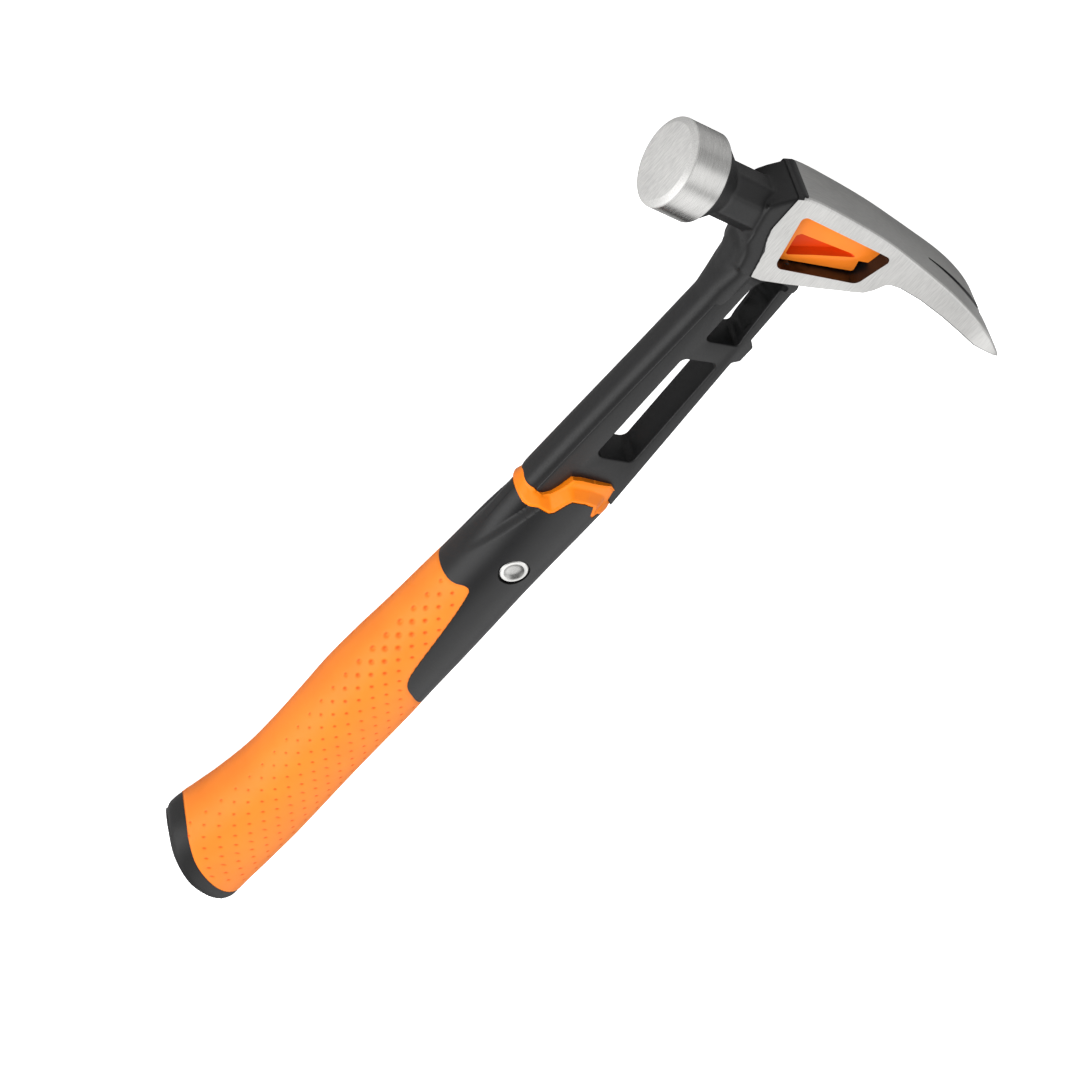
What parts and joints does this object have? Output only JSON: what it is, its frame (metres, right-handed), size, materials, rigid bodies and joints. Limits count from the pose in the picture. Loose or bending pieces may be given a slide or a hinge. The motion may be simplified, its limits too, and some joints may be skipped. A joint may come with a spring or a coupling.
{
  "type": "straight claw hammer",
  "caption": "One-piece forged straight claw hammer with windowed steel shaft, riveted handle shell, isolation band and dimpled soft grip.",
  "frame": {"origin": "centre of the bounding box in X and Y, at the lowest point of the hammer lying on its right side", "axes": "+X along the handle from the butt to the top of the head, +Y from the claws to the striking face, +Z out of the left cheek"},
  "size_m": [0.3377, 0.1316, 0.03],
  "materials": {
    "painted_steel": "satin black paint over forged steel, ground bright on the poll, face, cheeks and claws",
    "insert_plastic": "moulded orange plastic",
    "band_elastomer": "smooth orange elastomer",
    "shell_plastic": "fine textured black plastic",
    "rivet_metal": "plated steel",
    "grip_elastomer": "soft orange elastomer with rows of dimples",
    "cap_elastomer": "matte black elastomer"
  },
  "bodies": {
    "root": {"head_shaft": "painted_steel", "cheek_insert_left": "insert_plastic", "cheek_insert_right": "insert_plastic", "isolation_sleeve": "band_elastomer", "handle_shell": "shell_plastic", "rivet": "rivet_metal", "grip_overmould": "grip_elastomer", "end_cap": "cap_elastomer"}
  },
  "joints": []
}
